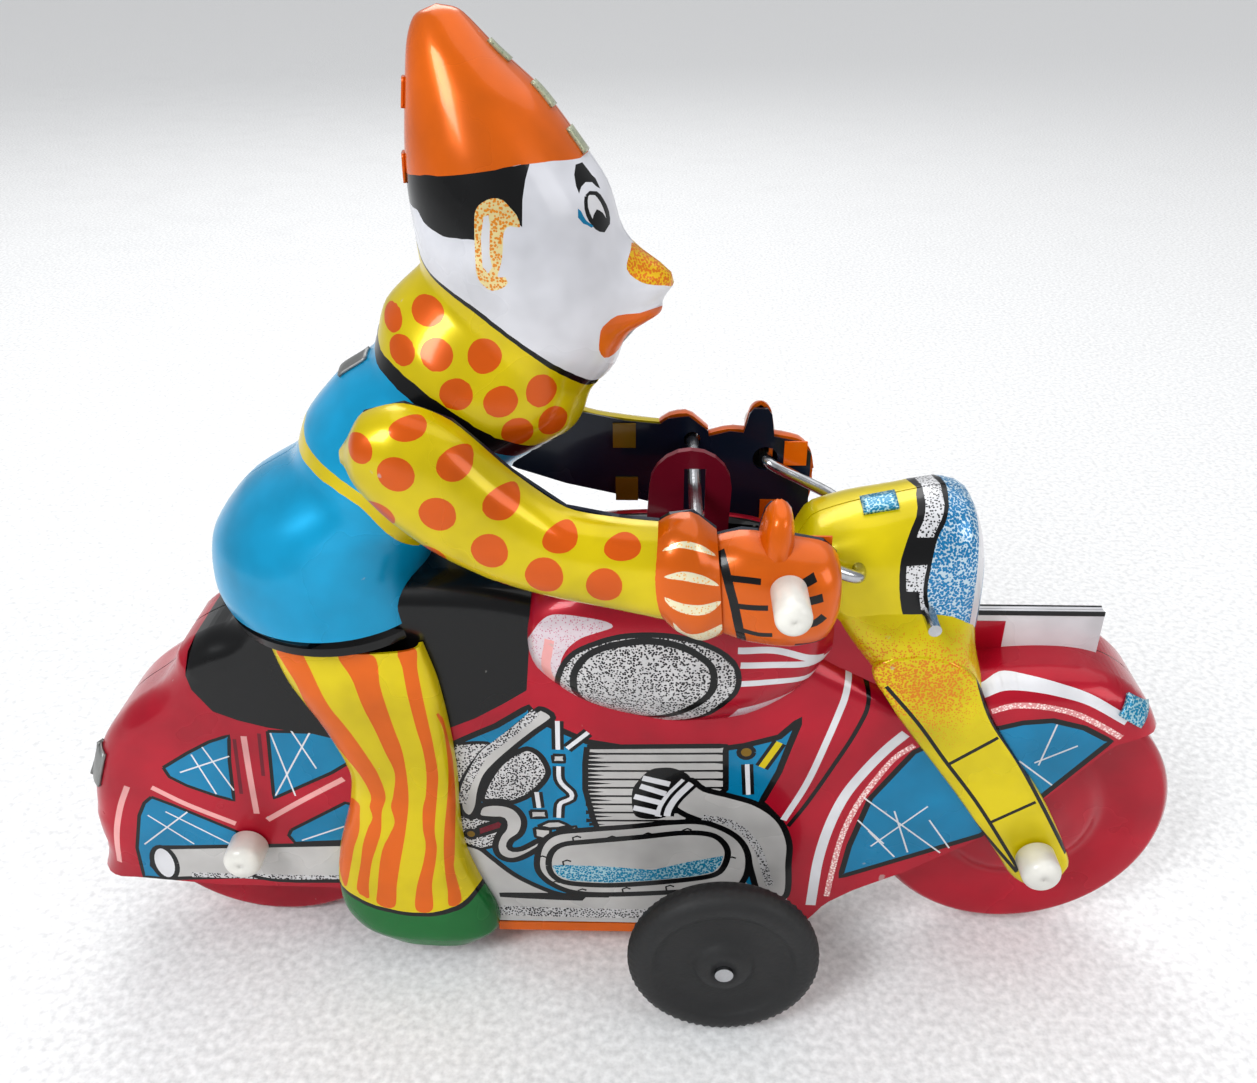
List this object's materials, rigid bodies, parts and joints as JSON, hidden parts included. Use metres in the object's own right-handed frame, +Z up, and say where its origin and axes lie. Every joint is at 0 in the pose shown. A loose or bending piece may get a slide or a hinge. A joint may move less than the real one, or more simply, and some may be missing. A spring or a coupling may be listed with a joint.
{
  "type": "tin wind-up motorcycle",
  "caption": "Free-standing printed tin motorcycle with a clown rider; a clockwork motor turns the drive wheels and rocks the rider's arms on the handlebar.",
  "frame": {"origin": "on the floor, in the middle of the toy's length and of its width with the winding key", "axes": "+X towards the front wheel, +Y to the rider's left where the key is, +Z up"},
  "size_m": [0.15, 0.065, 0.1249],
  "materials": {
    "red_tin": "glossy printed crimson tin",
    "yellow_tin": "glossy printed yellow tin",
    "blue_tin": "glossy printed sky-blue tin",
    "orange_tin": "glossy printed orange tin",
    "dark_tin": "glossy printed dark navy tin",
    "steel": "bright drawn wire and plain sheet",
    "brass": "plain brass",
    "white_plastic": "smooth white plastic",
    "black_rubber": "moulded black with a fine tread"
  },
  "bodies": {
    "frame": {"body_left": "red_tin", "body_right": "red_tin", "base_plate": "orange_tin", "rear_axle": "steel", "front_axle": "steel", "rear_axle_cap_left": "white_plastic", "rear_axle_cap_right": "white_plastic", "front_axle_cap_left": "white_plastic", "front_axle_cap_right": "white_plastic", "fork_left": "yellow_tin", "fork_right": "yellow_tin", "fork_pin": "steel", "hip_pin": "steel", "leg_left": "orange_tin", "leg_right": "orange_tin", "motor_plate_left": "steel", "motor_plate_right": "steel", "motor_pillar_1": "brass", "motor_pillar_2": "brass", "motor_pillar_3": "brass", "motor_pillar_4": "brass", "mainspring": "steel", "lever_pivot_pin": "steel"},
    "rear_wheel": {"rear_wheel": "red_tin"},
    "front_wheel": {"front_wheel": "red_tin"},
    "drive": {"drive_wheel_left": "black_rubber", "drive_wheel_right": "black_rubber", "drive_axle": "steel", "drive_pinion": "brass"},
    "middle": {"middle_shaft": "steel", "middle_wheel": "brass"},
    "winder": {"spring_arbor": "steel", "great_wheel": "brass", "winding_key": "steel"},
    "governor": {"governor": "brass"},
    "lever": {"rocker_lever": "red_tin"},
    "handlebar": {"handlebar": "steel", "handlebar_grip_left": "white_plastic", "handlebar_grip_right": "white_plastic"},
    "rider": {"rider_left": "blue_tin", "rider_right": "blue_tin", "hip_bracket": "steel", "shoulder_rod": "steel"},
    "arms": {"arm_left": "yellow_tin", "arm_right": "yellow_tin", "arm_plate_left": "dark_tin", "arm_plate_right": "dark_tin", "wrist_rod": "steel"}
  },
  "joints": [
    {"name": "rear_wheel_spin", "type": "hinge", "parent": "frame", "child": "rear_wheel", "pos_m": [-0.0525, -0.006, 0.0206], "axis": [0, 1, 0], "continuous": true},
    {"name": "front_wheel_spin", "type": "hinge", "parent": "frame", "child": "front_wheel", "pos_m": [0.0543, -0.006, 0.0217], "axis": [0, 1, 0], "continuous": true},
    {"name": "drive_spin", "type": "hinge", "parent": "frame", "child": "drive", "pos_m": [0.0124, -0.006, 0.0126], "axis": [0, 1, 0], "continuous": true},
    {"name": "middle_spin", "type": "hinge", "parent": "frame", "child": "middle", "pos_m": [0.00647, -0.006, 0.02303], "axis": [0, 1, 0], "continuous": true},
    {"name": "winder_turn", "type": "hinge", "parent": "frame", "child": "winder", "pos_m": [-0.008, -0.006, 0.024], "axis": [0, 1, 0], "continuous": true},
    {"name": "governor_spin", "type": "hinge", "parent": "frame", "child": "governor", "pos_m": [0.01209, -0.006, 0.03277], "axis": [0, 1, 0], "continuous": true},
    {"name": "handlebar_rock", "type": "hinge", "parent": "frame", "child": "handlebar", "pos_m": [0.027, -0.006, 0.0648], "axis": [0, 1, 0], "range_deg": [-14, 8]},
    {"name": "lever_rock", "type": "hinge", "parent": "frame", "child": "lever", "pos_m": [0.0065, -0.006, 0.04], "axis": [0, 1, 0], "range_deg": [-1.75, 1]},
    {"name": "rider_rock", "type": "hinge", "parent": "frame", "child": "rider", "pos_m": [-0.037, -0.006, 0.0605], "axis": [0, 1, 0], "range_deg": [-0.85, 0.5]},
    {"name": "arms_swing", "type": "hinge", "parent": "rider", "child": "arms", "pos_m": [-0.0245, -0.006, 0.0825], "axis": [0, 1, 0], "range_deg": [-2.5, 4.3]}
  ],
  "couplings": [
    {"joint": "middle_spin", "follows": "drive_spin", "ratio": -0.33333},
    {"joint": "winder_turn", "follows": "drive_spin", "ratio": 0.069444},
    {"joint": "governor_spin", "follows": "drive_spin", "ratio": 1.3333},
    {"joint": "lever_rock", "follows": "handlebar_rock", "ratio": 0.1199},
    {"joint": "rider_rock", "follows": "handlebar_rock", "ratio": 0.0569},
    {"joint": "arms_swing", "follows": "handlebar_rock", "ratio": -0.303}
  ]
}
